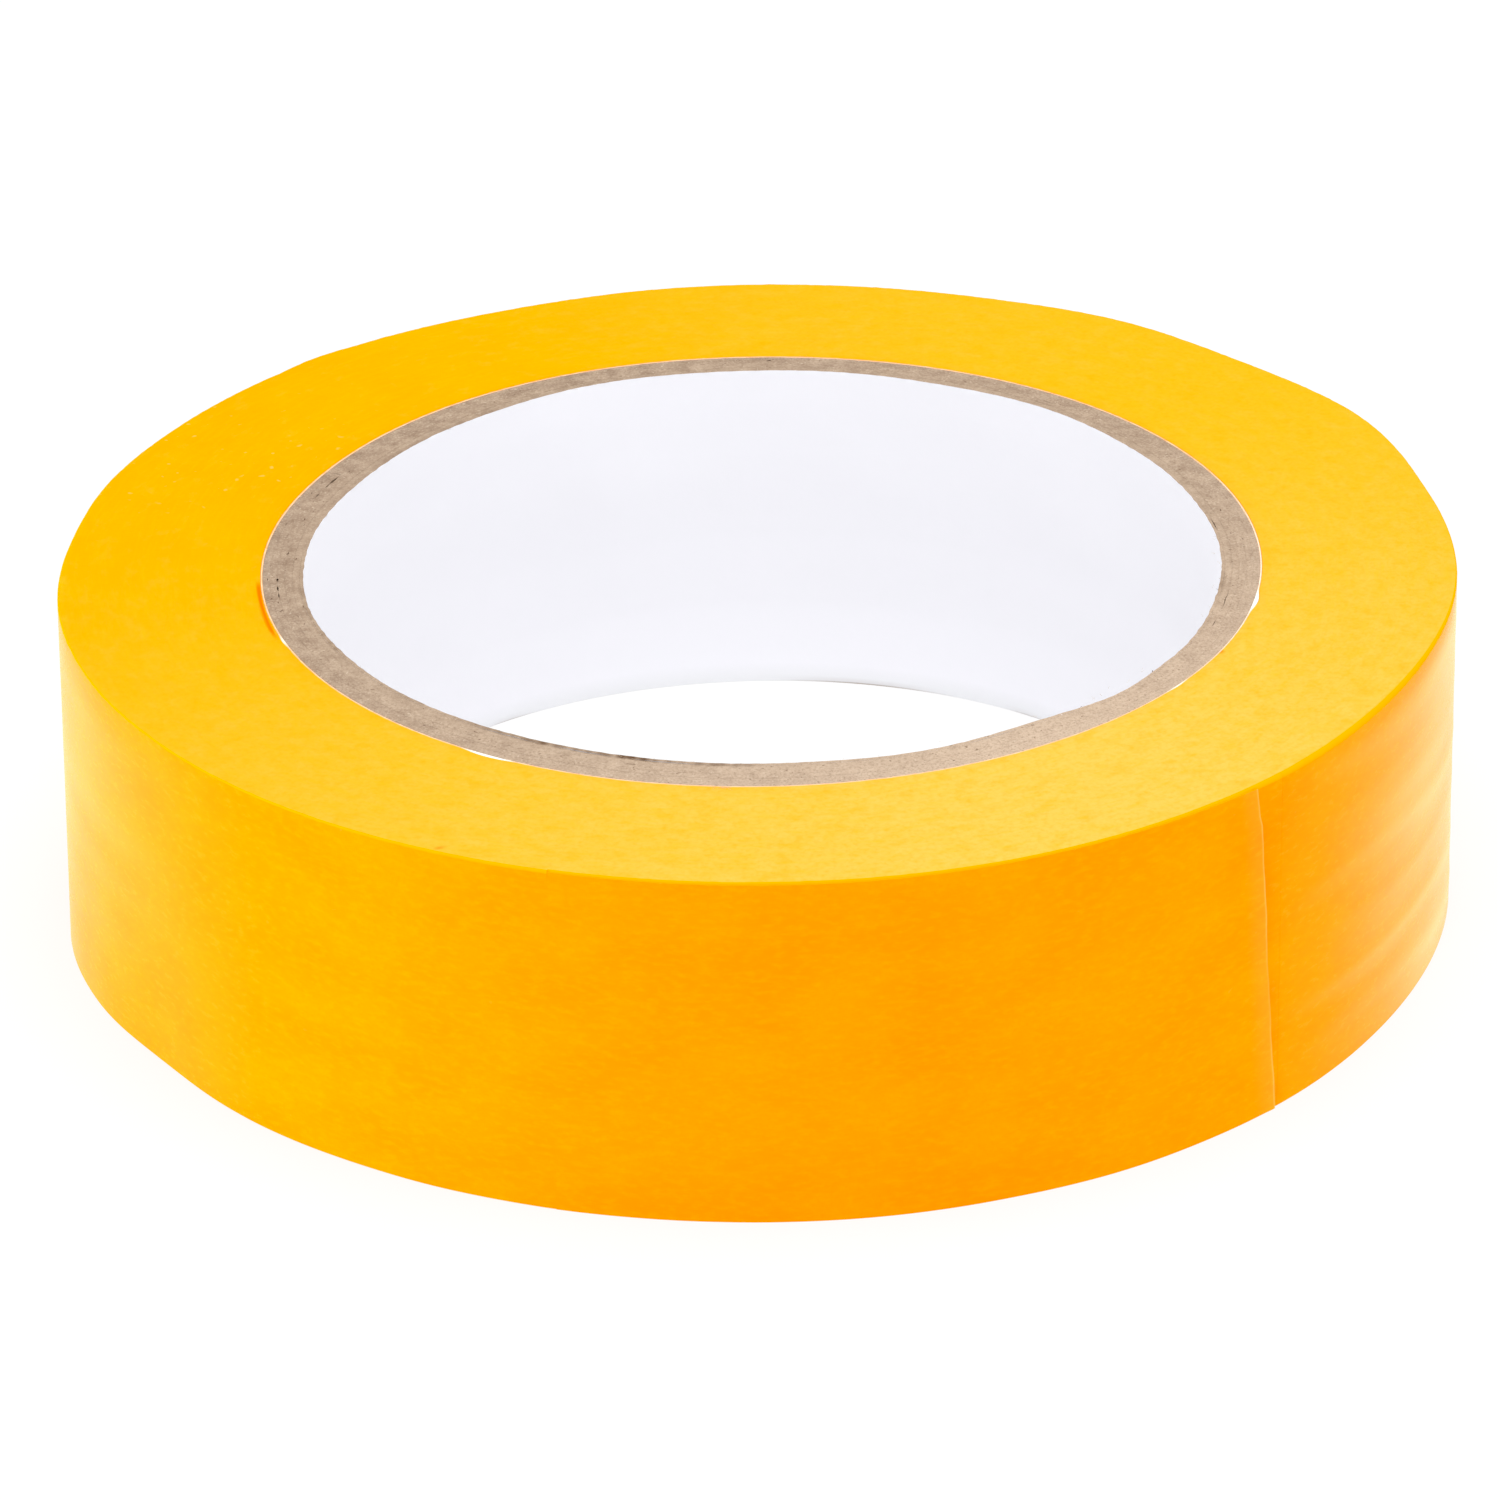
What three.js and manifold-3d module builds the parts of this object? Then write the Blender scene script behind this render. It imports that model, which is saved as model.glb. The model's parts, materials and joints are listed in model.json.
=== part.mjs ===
// A roll of masking tape, 30 mm wide, on a spirally wound paper core of 3 inch bore.
// Millimetres, +Z up along the roll's axis. The origin is the middle of the face that the roll stands on.
import * as THREE from 'three';
import { mergeVertices } from 'three/addons/utils/BufferGeometryUtils.js';
import Module from 'manifold-3d';

const wasm = await Module();
wasm.setup();

// Driving dimensions
const WIDTH = 30;
const BORE_RADIUS = 38.1;
const CORE_RADIUS = 41.6;
const ROLL_RADIUS = 58;
const TAPE_THICKNESS = 0.1;

// The core's layers, from the bore outwards, with a glue line between each and the next
const LINER_WALL = 0.3;
const WRAP_WALL = 0.12;
const GLUE_LINE = 0.03;
const PLY_COUNT = 5;
const PLY_WALL =
  (CORE_RADIUS - BORE_RADIUS - LINER_WALL - WRAP_WALL - (PLY_COUNT + 1) * GLUE_LINE) / PLY_COUNT;

// Each layer of the core is a strip wound on a slant, so it ends in one slanting butt seam
const SEAM_GAP = 0.6;
const SEAM_SLANT_DEG = 75;
const LINER_SEAM_DEG = 310;
const FIRST_PLY_SEAM_DEG = 299;
const WRAP_SEAM_DEG = 263;

// All round faces share one grid of flats, so that thin layers lie parallel to each other
const FACET_DEG = 5;
const FACETS = 360 / FACET_DEG;

// The free end of the tape, from its root on the roll to its tip, is hinged at the corners of the flats.
// Angles are counted anticlockwise from +X, and the tape is wound anticlockwise
const TIP_DEG = -45;
const LEAD_COUNT = 12;
const ROOT_DEG = TIP_DEG - LEAD_COUNT * FACET_DEG;
const LEAD_CLEARANCE = 0.03;
const END_TRIM = 0.05;

const rad = THREE.MathUtils.degToRad;

const whitePaper = { color: 0xf2f0ec, roughness: 0.8, metalness: 0 };
const chipboard = { color: 0xb29b82, roughness: 0.95, metalness: 0 };
const tapePaper = { color: 0xffa70a, roughness: 0.6, metalness: 0 };

const roll = new THREE.Group();

function addMesh(name, geometry, look) {
  const mesh = new THREE.Mesh(geometry, new THREE.MeshStandardMaterial(look));
  mesh.name = name;
  roll.add(mesh);
}

function toSolid(geometry) {
  const bare = geometry.clone();
  bare.deleteAttribute('normal');
  bare.deleteAttribute('uv');
  const merged = mergeVertices(bare, 1e-4);
  return new wasm.Manifold(
    new wasm.Mesh({
      numProp: 3,
      vertProperties: Float32Array.from(merged.attributes.position.array),
      triVerts: Uint32Array.from(merged.index.array),
    }),
  );
}

function fromSolid(solid) {
  const mesh = solid.getMesh();
  const geometry = new THREE.BufferGeometry();
  geometry.setAttribute('position', new THREE.BufferAttribute(mesh.vertProperties, 3));
  geometry.setIndex(new THREE.BufferAttribute(mesh.triVerts, 1));
  geometry.computeVertexNormals();
  return geometry;
}

// A ring of rectangular section round the axis, as high as the roll is wide
function ring(innerRadius, outerRadius) {
  const section = [
    new THREE.Vector2(innerRadius, 0),
    new THREE.Vector2(outerRadius, 0),
    new THREE.Vector2(outerRadius, WIDTH),
    new THREE.Vector2(innerRadius, WIDTH),
    new THREE.Vector2(innerRadius, 0),
  ];
  return new THREE.LatheGeometry(section, FACETS).rotateX(Math.PI / 2);
}

// A thin radial blade, twisted about the axis, whose top edge lies at topDeg
function seamBlade(middleRadius, topDeg) {
  const overrun = 1;
  const steps = 12;
  const height = WIDTH + 2 * overrun;
  const blade = new THREE.BoxGeometry(4, SEAM_GAP, height, 1, 1, steps);
  blade.translate(middleRadius, 0, WIDTH / 2);
  const place = blade.attributes.position;
  const point = new THREE.Vector3();
  const up = new THREE.Vector3(0, 0, 1);
  for (let i = 0; i < place.count; i++) {
    point.fromBufferAttribute(place, i);
    const turn = topDeg - SEAM_SLANT_DEG * (1 - point.z / WIDTH);
    point.applyAxisAngle(up, rad(turn));
    place.setXYZ(i, point.x, point.y, point.z);
  }
  return blade;
}

// One layer of the core: a ring opened along its slanting seam
function coreLayer(name, innerRadius, wall, seamTopDeg, look) {
  const whole = toSolid(ring(innerRadius, innerRadius + wall));
  const blade = toSolid(seamBlade(innerRadius + wall / 2, seamTopDeg));
  addMesh(name, fromSolid(whole.subtract(blade)), look);
}

function addCore() {
  coreLayer('core_liner', BORE_RADIUS, LINER_WALL, LINER_SEAM_DEG, whitePaper);
  let innerRadius = BORE_RADIUS + LINER_WALL + GLUE_LINE;
  for (let ply = 1; ply <= PLY_COUNT; ply++) {
    const seamDeg = FIRST_PLY_SEAM_DEG + ((ply - 1) * 360) / PLY_COUNT;
    coreLayer(`core_ply_${ply}`, innerRadius, PLY_WALL, seamDeg, chipboard);
    innerRadius += PLY_WALL + GLUE_LINE;
  }
  coreLayer('core_outer_wrap', innerRadius, WRAP_WALL, WRAP_SEAM_DEG, whitePaper);
}

function polar(radius, deg) {
  return new THREE.Vector2(radius * Math.cos(rad(deg)), radius * Math.sin(rad(deg)));
}

// The outer face of the tape, a spiral that loses one thickness in each turn behind the tip
function spiralRadius(degBehindTip) {
  return ROLL_RADIUS - (TAPE_THICKNESS * degBehindTip) / 360;
}

function outerPoint(deg) {
  return polar(spiralRadius(TIP_DEG - deg), deg);
}

function innerPoint(deg) {
  return polar(spiralRadius(TIP_DEG - deg) - TAPE_THICKNESS, deg);
}

// The floor of the shallow recess in which the free stretches lie
function recessPoint(deg) {
  return polar(spiralRadius(TIP_DEG - deg) - TAPE_THICKNESS - LEAD_CLEARANCE, deg);
}

function extrudeOutline(points, hole) {
  const shape = new THREE.Shape(points);
  if (hole) shape.holes.push(new THREE.Path(hole));
  return new THREE.ExtrudeGeometry(shape, { depth: WIDTH, bevelEnabled: false });
}

// All the turns that stay stuck down, as one solid
function addTapePack() {
  const outline = [];
  for (let deg = TIP_DEG - 360; deg <= ROOT_DEG; deg += FACET_DEG) outline.push(outerPoint(deg));
  for (let deg = ROOT_DEG; deg <= TIP_DEG; deg += FACET_DEG) outline.push(recessPoint(deg));
  const bore = [];
  for (let deg = 0; deg < 360; deg += FACET_DEG) bore.push(polar(CORE_RADIUS + GLUE_LINE, deg));
  addMesh('tape_pack', extrudeOutline(outline, bore), tapePaper);
}

// The free last stretch of the tape, one flat to each hinged length
function addTapeLead() {
  for (let lead = 1; lead <= LEAD_COUNT; lead++) {
    const start = ROOT_DEG + (lead - 1) * FACET_DEG;
    const end = start + FACET_DEG;
    const trim = END_TRIM / outerPoint(start).distanceTo(outerPoint(end));
    const outline = [
      outerPoint(start).lerp(outerPoint(end), trim),
      outerPoint(end).lerp(outerPoint(start), trim),
      innerPoint(end).lerp(innerPoint(start), trim),
      innerPoint(start).lerp(innerPoint(end), trim),
    ];
    addMesh(`tape_lead_${lead}`, extrudeOutline(outline), tapePaper);
  }
}

addCore();
addTapePack();
addTapeLead();

export default roll;
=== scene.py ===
"""A roll of orange masking tape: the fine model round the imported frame, its materials, light and
camera."""

import json
import math

import bpy
import numpy as np
from mathutils import Matrix, Vector


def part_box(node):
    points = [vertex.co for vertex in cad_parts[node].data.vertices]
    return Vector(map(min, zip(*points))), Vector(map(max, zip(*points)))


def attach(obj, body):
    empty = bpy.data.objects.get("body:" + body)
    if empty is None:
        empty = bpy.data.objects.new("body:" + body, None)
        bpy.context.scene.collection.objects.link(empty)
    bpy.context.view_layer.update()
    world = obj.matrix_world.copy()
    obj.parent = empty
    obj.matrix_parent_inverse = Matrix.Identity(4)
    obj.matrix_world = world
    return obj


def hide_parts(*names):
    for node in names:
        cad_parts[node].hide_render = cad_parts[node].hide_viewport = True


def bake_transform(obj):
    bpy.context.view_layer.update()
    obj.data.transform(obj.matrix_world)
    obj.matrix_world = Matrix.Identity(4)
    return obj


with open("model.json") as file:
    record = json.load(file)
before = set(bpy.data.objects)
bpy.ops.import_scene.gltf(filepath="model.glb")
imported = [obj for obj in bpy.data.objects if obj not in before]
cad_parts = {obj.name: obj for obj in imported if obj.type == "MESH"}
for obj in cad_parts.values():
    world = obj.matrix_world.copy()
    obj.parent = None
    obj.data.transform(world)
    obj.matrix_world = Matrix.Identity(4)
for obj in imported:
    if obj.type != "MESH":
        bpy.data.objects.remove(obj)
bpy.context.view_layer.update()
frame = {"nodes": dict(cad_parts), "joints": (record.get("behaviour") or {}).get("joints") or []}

MM = 0.001

# ---------------------------------------------------------------- sizes, from the frame

TAPE = 0.1 * MM
LINER_WALL = 0.3 * MM
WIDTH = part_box("tape_pack")[1].z

HINGES = frame["joints"]
HINGE_DEG = [math.degrees(math.atan2(h["pos_m"][1], h["pos_m"][0])) for h in HINGES]
STRETCH_DEG = HINGE_DEG[1] - HINGE_DEG[0]
ROOT_DEG = HINGE_DEG[0]
TIP_DEG = HINGE_DEG[-1] + STRETCH_DEG
ROOT_RADIUS = math.hypot(*HINGES[0]["pos_m"][:2])
TIP_RADIUS = ROOT_RADIUS + TAPE * (TIP_DEG - ROOT_DEG) / 360
LEAD_NODES = [f"tape_lead_{k + 1}" for k in range(len(HINGES))]
PLY_NODES = sorted(n for n in frame["nodes"] if n.startswith("core_ply_"))


def outer_radius(node):
    low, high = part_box(node)
    return (high.y - low.y) / 2


CORE_RADIUS = outer_radius("core_outer_wrap")
BORE_RADIUS = outer_radius("core_liner") - LINER_WALL


# ---------------------------------------------------------------- mesh building

def polar(radius, deg, z):
    """Points at these radii, angles and heights, as an array that ends in x, y, z."""
    angle = np.radians(deg)
    radius, angle, z = np.broadcast_arrays(radius, angle, z)
    return np.stack([radius * np.cos(angle), radius * np.sin(angle), z], axis=-1)


def hump(deg, centre, half_width):
    """A smooth hump of height 1 round an angle, and 0 beyond its half width."""
    away = (deg - centre + 180) % 360 - 180
    return np.cos(np.clip(away / half_width, -1, 1) * math.pi / 2) ** 2


def smooth_step(value):
    value = np.clip(value, 0, 1)
    return value * value * (3 - 2 * value)


def ripple(deg, z, seed, waves, turns, rise):
    """Seeded smooth unevenness round a cylinder, of about -1 to 1: waves with at most
    so many crests a turn, and so many radians a millimetre of height."""
    random = np.random.default_rng(seed)
    total = 0
    for _ in range(waves):
        crests = random.integers(1, turns + 1)
        tilt = random.uniform(-rise, rise)
        phase = random.uniform(0, 2 * math.pi)
        total = total + np.cos(crests * np.radians(deg) + tilt * z / MM + phase)
    return total / math.sqrt(2 * waves)


def new_object(name, points, faces, materials, slots=None, extras=None):
    """A smooth mesh object with its resting place kept on each point, for the materials to read."""
    mesh = bpy.data.meshes.new(name)
    mesh.from_pydata(points.tolist(), [], faces)
    for material in materials:
        mesh.materials.append(material)
    if slots is not None:
        mesh.polygons.foreach_set("material_index", np.asarray(slots, np.int32))
    rest = mesh.attributes.new("rest", "FLOAT_VECTOR", "POINT")
    rest.data.foreach_set("vector", points.astype(np.float32).ravel())
    for key, values in (extras or {}).items():
        extra = mesh.attributes.new(key, "FLOAT", "POINT")
        extra.data.foreach_set("value", values.astype(np.float32).ravel())
    mesh.shade_smooth()
    mesh.set_sharp_from_angle(angle=math.radians(40))
    made = bpy.data.objects.new(name, mesh)
    bpy.context.scene.collection.objects.link(made)
    return made


def cap_faces(places, across):
    """A section's cap, in strips across it. The section has two long sides, with so many places
    across each of the short ends between them."""
    side = places // 2 - across
    strips = []
    for j in range(side - 1):
        mate = 2 * side + across - 1 - j
        strips.append([j, j + 1, mate - 1, mate])
    strips[-1][2:2] = range(side, side + across)
    strips[0] += range(places - across, places)
    return strips


def wrap_grid(name, grid, closed, materials, slot_of, extras=None, across=0):
    """A solid from grid[column, place round the section]. The section closes on itself. The columns
    do too where closed is true, and otherwise both ends are capped, with so many places across the
    section's short ends. slot_of[j] is the material slot of the faces between places j and j + 1."""
    columns, places = grid.shape[:2]
    last = columns if closed else columns - 1
    faces = []
    slots = []
    for i in range(last):
        here = i * places
        there = (i + 1) % columns * places
        for j in range(places):
            k = (j + 1) % places
            faces.append((here + j, there + j, there + k, here + k))
            slots.append(slot_of[j])
    if not closed:
        end = (columns - 1) * places
        for strip in cap_faces(places, across):
            faces.append(tuple(strip))
            faces.append(tuple(end + corner for corner in reversed(strip)))
            slots += [slot_of[0], slot_of[0]]
    return new_object(name, grid.reshape(-1, 3), faces, materials, slots, extras)


# ---------------------------------------------------------------- materials

class Graph:
    """A material and its node tree, with short calls for the nodes used here."""

    def __init__(self, name):
        self.material = bpy.data.materials.new(name)
        self.material.use_nodes = True
        self.nodes = self.material.node_tree.nodes
        self.links = self.material.node_tree.links
        self.shader = self.nodes["Principled BSDF"]

    def put(self, socket, value):
        if isinstance(value, bpy.types.NodeSocket):
            self.links.new(value, socket)
        else:
            socket.default_value = value

    def add(self, kind, inputs, **settings):
        node = self.nodes.new(kind)
        for key, value in settings.items():
            setattr(node, key, value)
        for key, value in inputs.items():
            self.put(node.inputs[key], value)
        return node

    def attribute(self, name):
        return self.add("ShaderNodeAttribute", {}, attribute_name=name).outputs["Fac"]

    def rest(self, x=1.0, y=1.0, z=1.0):
        """The point's resting place in millimetres, stretched by these factors."""
        place = self.add("ShaderNodeAttribute", {}, attribute_name="rest").outputs["Vector"]
        factors = (x / MM, y / MM, z / MM)
        return self.add("ShaderNodeVectorMath", {0: place, 1: factors}, operation="MULTIPLY").outputs[0]

    def radius(self):
        """The distance from the roll's axis in millimetres."""
        return self.add("ShaderNodeVectorMath", {0: self.rest(z=0)}, operation="LENGTH").outputs["Value"]

    def wound(self, along, across):
        """Coordinates that run round the axis: stretched by one factor along the turns and by the
        other across them, with no seam."""
        round_axis = self.add("ShaderNodeVectorMath", {0: self.rest(z=0)}, operation="NORMALIZE")
        spread = self.add("ShaderNodeVectorMath", {0: round_axis.outputs[0], "Scale": 50 * along},
                          operation="SCALE")
        split = self.add("ShaderNodeSeparateXYZ", {0: spread.outputs[0]})
        depth = self.math("MULTIPLY", self.radius(), across)
        joined = self.add("ShaderNodeCombineXYZ", {0: split.outputs[0], 1: split.outputs[1], 2: depth})
        return joined.outputs[0]

    def math(self, operation, a, b=0.0):
        return self.add("ShaderNodeMath", {0: a, 1: b}, operation=operation).outputs[0]

    def noise(self, vector, scale, detail=2.0, roughness=0.5):
        values = {"Vector": vector, "Scale": scale, "Detail": detail, "Roughness": roughness}
        return self.add("ShaderNodeTexNoise", values).outputs["Fac"]

    def remap(self, value, low, high, to_low=0.0, to_high=1.0):
        values = {"Value": value, "From Min": low, "From Max": high, "To Min": to_low, "To Max": to_high}
        return self.add("ShaderNodeMapRange", values).outputs[0]

    def mix(self, factor, a, b):
        values = {0: factor, 6: as_colour(a), 7: as_colour(b)}
        return self.add("ShaderNodeMix", values, data_type="RGBA").outputs[2]

    def bump(self, height, distance, strength):
        values = {"Height": height, "Distance": distance, "Strength": strength}
        return self.add("ShaderNodeBump", values).outputs["Normal"]

    def finish(self, **inputs):
        for key, value in inputs.items():
            self.put(self.shader.inputs[key.replace("_", " ")], as_colour(value))
        return self.material


def as_colour(value):
    """A colour of three numbers gets its alpha."""
    if isinstance(value, tuple) and len(value) == 3:
        return (*value, 1.0)
    return value


TAPE_DEEP = (1.0, 0.295, 0.0)
TAPE_ORANGE = (1.0, 0.332, 0.0)
TAPE_LIGHT = (1.0, 0.385, 0.002)
# Pale paper, also the colour of a painted sheen haze on the tape's side
TAPE_PALE_AND_HAZE = (1.0, 0.64, 0.25)
TAPE_PALE = (1.0, 0.62, 0.16)
# Deeper colour for painted shade, and for small marks on the end face
TAPE_SHADE_AND_MARKS = (1.0, 0.15, 0.0)
ADHESIVE_DEEP = (1.0, 0.4, 0.015)
ADHESIVE_LIGHT = (1.0, 0.47, 0.05)


def tape_face_material():
    """The outer face of the tape: thin dyed paper with short fibres that lie mostly along it."""
    g = Graph("tape_face")
    fibres = g.noise(g.rest(0.9, 0.9, 2.4), 1.0, 4.0, 0.6)
    grain = g.noise(g.rest(3.0, 3.0, 4.5), 1.0, 3.0, 0.6)
    clouds = g.noise(g.rest(0.13, 0.13, 0.22), 1.0, 3.0, 0.55)
    specks = g.noise(g.rest(1.7, 1.7, 2.2), 1.0, 0.0, 0.5)
    colour = g.mix(g.remap(clouds, 0.35, 0.65), TAPE_DEEP, TAPE_ORANGE)
    colour = g.mix(g.remap(fibres, 0.45, 0.72, 0.0, 0.6), colour, TAPE_LIGHT)
    colour = g.mix(g.remap(grain, 0.48, 0.72, 0.0, 0.6), colour, TAPE_DEEP)
    colour = g.mix(g.remap(specks, 0.84, 0.87, 0.0, 0.05), colour, TAPE_PALE_AND_HAZE)
    # Paler loose paper, with a painted sheen haze on the outermost turn
    colour = g.mix(g.attribute("pale_and_haze"), colour, TAPE_PALE_AND_HAZE)
    # Painted shade beside the tip and at the front
    colour = g.mix(g.attribute("shade_and_marks"), colour, TAPE_SHADE_AND_MARKS)
    # Frayed paper at the cut end, with a painted highlight of the cut edge
    colour = g.mix(g.attribute("frayed_and_highlight"), colour, TAPE_PALE)
    height = g.math("ADD", g.math("MULTIPLY", fibres, 0.6), g.math("MULTIPLY", grain, 0.4))
    normal = g.bump(height, 0.05 * MM, 0.6)
    return g.finish(Base_Color=colour, Roughness=g.remap(fibres, 0.3, 0.7, 0.18, 0.3), Normal=normal,
                    Specular_IOR_Level=0.03, Sheen_Weight=0.28, Sheen_Roughness=0.28,
                    Sheen_Tint=(1.0, 1.0, 0.45))


def tape_back_material():
    """The inner face of the tape, where its adhesive makes it a little paler and glossier."""
    g = Graph("tape_adhesive_side")
    fibres = g.noise(g.rest(0.9, 0.9, 2.4), 1.0, 4.0, 0.6)
    dapple = g.noise(g.rest(0.8, 0.8, 0.8), 1.0, 4.0, 0.6)
    colour = g.mix(g.remap(fibres, 0.35, 0.7), ADHESIVE_DEEP, ADHESIVE_LIGHT)
    normal = g.bump(dapple, 0.06 * MM, 0.5)
    return g.finish(Base_Color=colour, Roughness=g.remap(dapple, 0.3, 0.7, 0.24, 0.4), Normal=normal,
                    Specular_IOR_Level=0.5)


SLIT_DEEP = (1.0, 0.352, 0.0)
SLIT_ORANGE = (1.0, 0.37, 0.0)
SLIT_LIT = (1.0, 0.404, 0.004)
SLIT_SHEEN = (1.0, 0.486, 0.083)
SLIT_MOTTLE = (1.0, 0.46, 0.06)
SLIT_BLOTCH = (1.0, 0.365, 0.0)
SLIT_TURN = (1.0, 0.44, 0.01)
SLIT_FELT = (1.0, 0.335, 0.0)
SLIT_DUST = (1.0, 0.62, 0.22)
SLIT_HIGHLIGHT = (1.0, 0.38, 0.0)


def tape_edge_material():
    """The slit edges of the wound turns, on the roll's two end faces."""
    g = Graph("tape_slit_edges")
    turns = g.noise(g.wound(0.35, 3.0), 1.0, 4.0, 0.6)
    felt = g.noise(g.rest(2.2, 2.2, 2.2), 1.0, 4.0, 0.6)
    clouds = g.noise(g.rest(0.16, 0.16, 0.16), 1.0, 3.0, 0.5)
    mottle = g.noise(g.wound(0.55, 0.8), 1.0, 4.0, 0.62)
    blotches = g.noise(g.rest(0.5, 0.5, 0.5), 1.0, 4.0, 0.6)
    specks = g.noise(g.rest(1.1, 1.1, 1.1), 1.0, 1.0, 0.5)
    colour = g.mix(g.remap(clouds, 0.35, 0.65), SLIT_DEEP, SLIT_ORANGE)
    # Painted light, weakest at the rear left
    colour = g.mix(g.attribute("painted_light"), colour, SLIT_LIT)
    # Painted sheen on the end face, strongest at the front right
    sheen_haze = g.math("MULTIPLY", g.attribute("sheen_haze"), g.remap(mottle, 0.32, 0.68, 0.66, 1.34))
    colour = g.mix(sheen_haze, colour, SLIT_SHEEN)
    colour = g.mix(g.remap(mottle, 0.52, 0.74, 0.0, 0.17), colour, SLIT_MOTTLE)
    colour = g.mix(g.remap(blotches, 0.52, 0.72, 0.0, 0.4), colour, SLIT_BLOTCH)
    colour = g.mix(g.remap(turns, 0.48, 0.72, 0.0, 0.3), colour, SLIT_TURN)
    colour = g.mix(g.remap(felt, 0.46, 0.74, 0.0, 0.4), colour, SLIT_FELT)
    dust = g.math("MULTIPLY", g.remap(specks, 0.7, 0.76, 0.0, 0.3), g.attribute("dusty"))
    colour = g.mix(dust, colour, SLIT_DUST)
    # Painted shade along the first turns and the hole's edge, and small marks
    colour = g.mix(g.attribute("shade_and_marks"), colour, TAPE_SHADE_AND_MARKS)
    # Painted highlight along the rounded outer rim
    colour = g.mix(g.attribute("highlit_rim"), colour, SLIT_HIGHLIGHT)
    height = g.math("ADD", g.math("MULTIPLY", turns, 0.6), g.math("MULTIPLY", felt, 0.4))
    normal = g.bump(height, 0.07 * MM, 0.7)
    return g.finish(Base_Color=colour, Roughness=0.6, Normal=normal, Specular_IOR_Level=0.01)


BOARD_DARK = (0.17, 0.108, 0.067)
BOARD = (0.28, 0.197, 0.138)
BOARD_LIGHT = (0.42, 0.315, 0.228)
BOARD_PALE = (0.62, 0.51, 0.39)
BOARD_SHEEN = (0.63, 0.484, 0.36)
BOARD_DARKEST = (0.12, 0.066, 0.035)


def board_material(name, raw):
    """Grey-brown chipboard. A raw surface is a cut edge, full of fibre ends and flecks."""
    g = Graph(name)
    patches = g.noise(g.rest(0.6, 0.6, 0.6), 1.0, 3.0, 0.6)
    fibres = g.noise(g.wound(1.3, 2.8), 1.0, 4.0, 0.65)
    grain = g.noise(g.rest(4.5, 4.5, 4.5), 1.0, 3.0, 0.7)
    flecks = g.noise(g.rest(2.4, 2.4, 2.4), 1.0, 1.0, 0.5)
    hairs = g.noise(g.wound(2.6, 3.4), 1.0, 1.0, 0.5)
    colour = g.mix(g.remap(patches, 0.34, 0.66), BOARD, BOARD_LIGHT)
    # Painted sheen, paler towards the front right
    colour = g.mix(g.math("MULTIPLY", g.attribute("sheen_haze"), 0.68), colour, BOARD_SHEEN)
    colour = g.mix(g.remap(fibres, 0.5, 0.7, 0.0, 0.4), colour, BOARD_LIGHT)
    colour = g.mix(g.remap(grain, 0.5, 0.66, 0.0, 0.38 if raw else 0.2), colour, BOARD_DARK)
    colour = g.mix(g.remap(grain, 0.46, 0.32, 0.0, 0.38 if raw else 0.2), colour, BOARD_PALE)
    colour = g.mix(g.remap(flecks, 0.7, 0.76, 0.0, 0.7 if raw else 0.2), colour, BOARD_DARK)
    colour = g.mix(g.remap(hairs, 0.69, 0.74, 0.0, 0.5), colour, BOARD_PALE)
    liner_edge = (BORE_RADIUS + LINER_WALL) / MM
    pale_inside = g.remap(g.radius(), liner_edge, BORE_RADIUS / MM + 1.5, 0.35, 0.0)
    colour = g.mix(pale_inside, colour, BOARD_LIGHT)
    colour = g.mix(g.attribute("darkened"), colour, BOARD_DARKEST)
    height = g.math("ADD", g.math("MULTIPLY", grain, 0.5), g.math("MULTIPLY", fibres, 0.5))
    normal = g.bump(height, (0.1 if raw else 0.04) * MM, 0.9)
    return g.finish(Base_Color=colour, Roughness=0.92, Normal=normal, Specular_IOR_Level=0.1)


LINER_WHITE = (0.876, 0.872, 0.91)
LINER_WHITER = (0.886, 0.882, 0.92)
LINER_LIT = (0.9, 0.896, 0.934)
LINER_FOOT_SHADE = (0.8, 0.81, 0.82)
WRAP_TINTED = (0.95, 0.5, 0.22)
WRAP_TINTED_LESS = (0.97, 0.62, 0.36)
WRAP_WHITE = (0.92, 0.88, 0.8)


def white_paper_material():
    """The smooth bleached paper that lines the bore."""
    g = Graph("bleached_paper")
    fibres = g.noise(g.rest(1.2, 1.2, 1.6), 1.0, 5.0, 0.6)
    clouds = g.noise(g.rest(0.1, 0.1, 0.1), 1.0, 2.0, 0.5)
    place = g.add("ShaderNodeSeparateXYZ", {0: g.rest()})
    colour = g.mix(g.remap(clouds, 0.3, 0.7), LINER_WHITE, LINER_WHITER)
    # Painted light: whiter towards +x, on the right of the bore
    colour = g.mix(g.remap(place.outputs[0], -10.0, 38.0), colour, LINER_LIT)
    # Painted shade: greyer over the lowest 1.8 mm of the bore's wall
    colour = g.mix(g.remap(place.outputs[2], 1.8, 0.0, 0.0, 0.8), colour, LINER_FOOT_SHADE)
    colour = g.mix(g.attribute("darkened"), colour, BOARD)
    normal = g.bump(fibres, 0.025 * MM, 0.5)
    return g.finish(Base_Color=colour, Roughness=g.remap(fibres, 0.3, 0.7, 0.6, 0.72), Normal=normal,
                    Specular_IOR_Level=0.2)


def wrap_paper_material():
    """The thin paper round the core, tinted where the tape's adhesive and colour show through."""
    g = Graph("core_wrap_paper")
    fibres = g.noise(g.wound(0.8, 2.0), 1.0, 4.0, 0.6)
    colour = g.mix(g.remap(fibres, 0.35, 0.65), WRAP_TINTED, WRAP_TINTED_LESS)
    colour = g.mix(g.attribute("swollen"), colour, WRAP_WHITE)
    return g.finish(Base_Color=colour, Roughness=0.85, Specular_IOR_Level=0.15)


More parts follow.
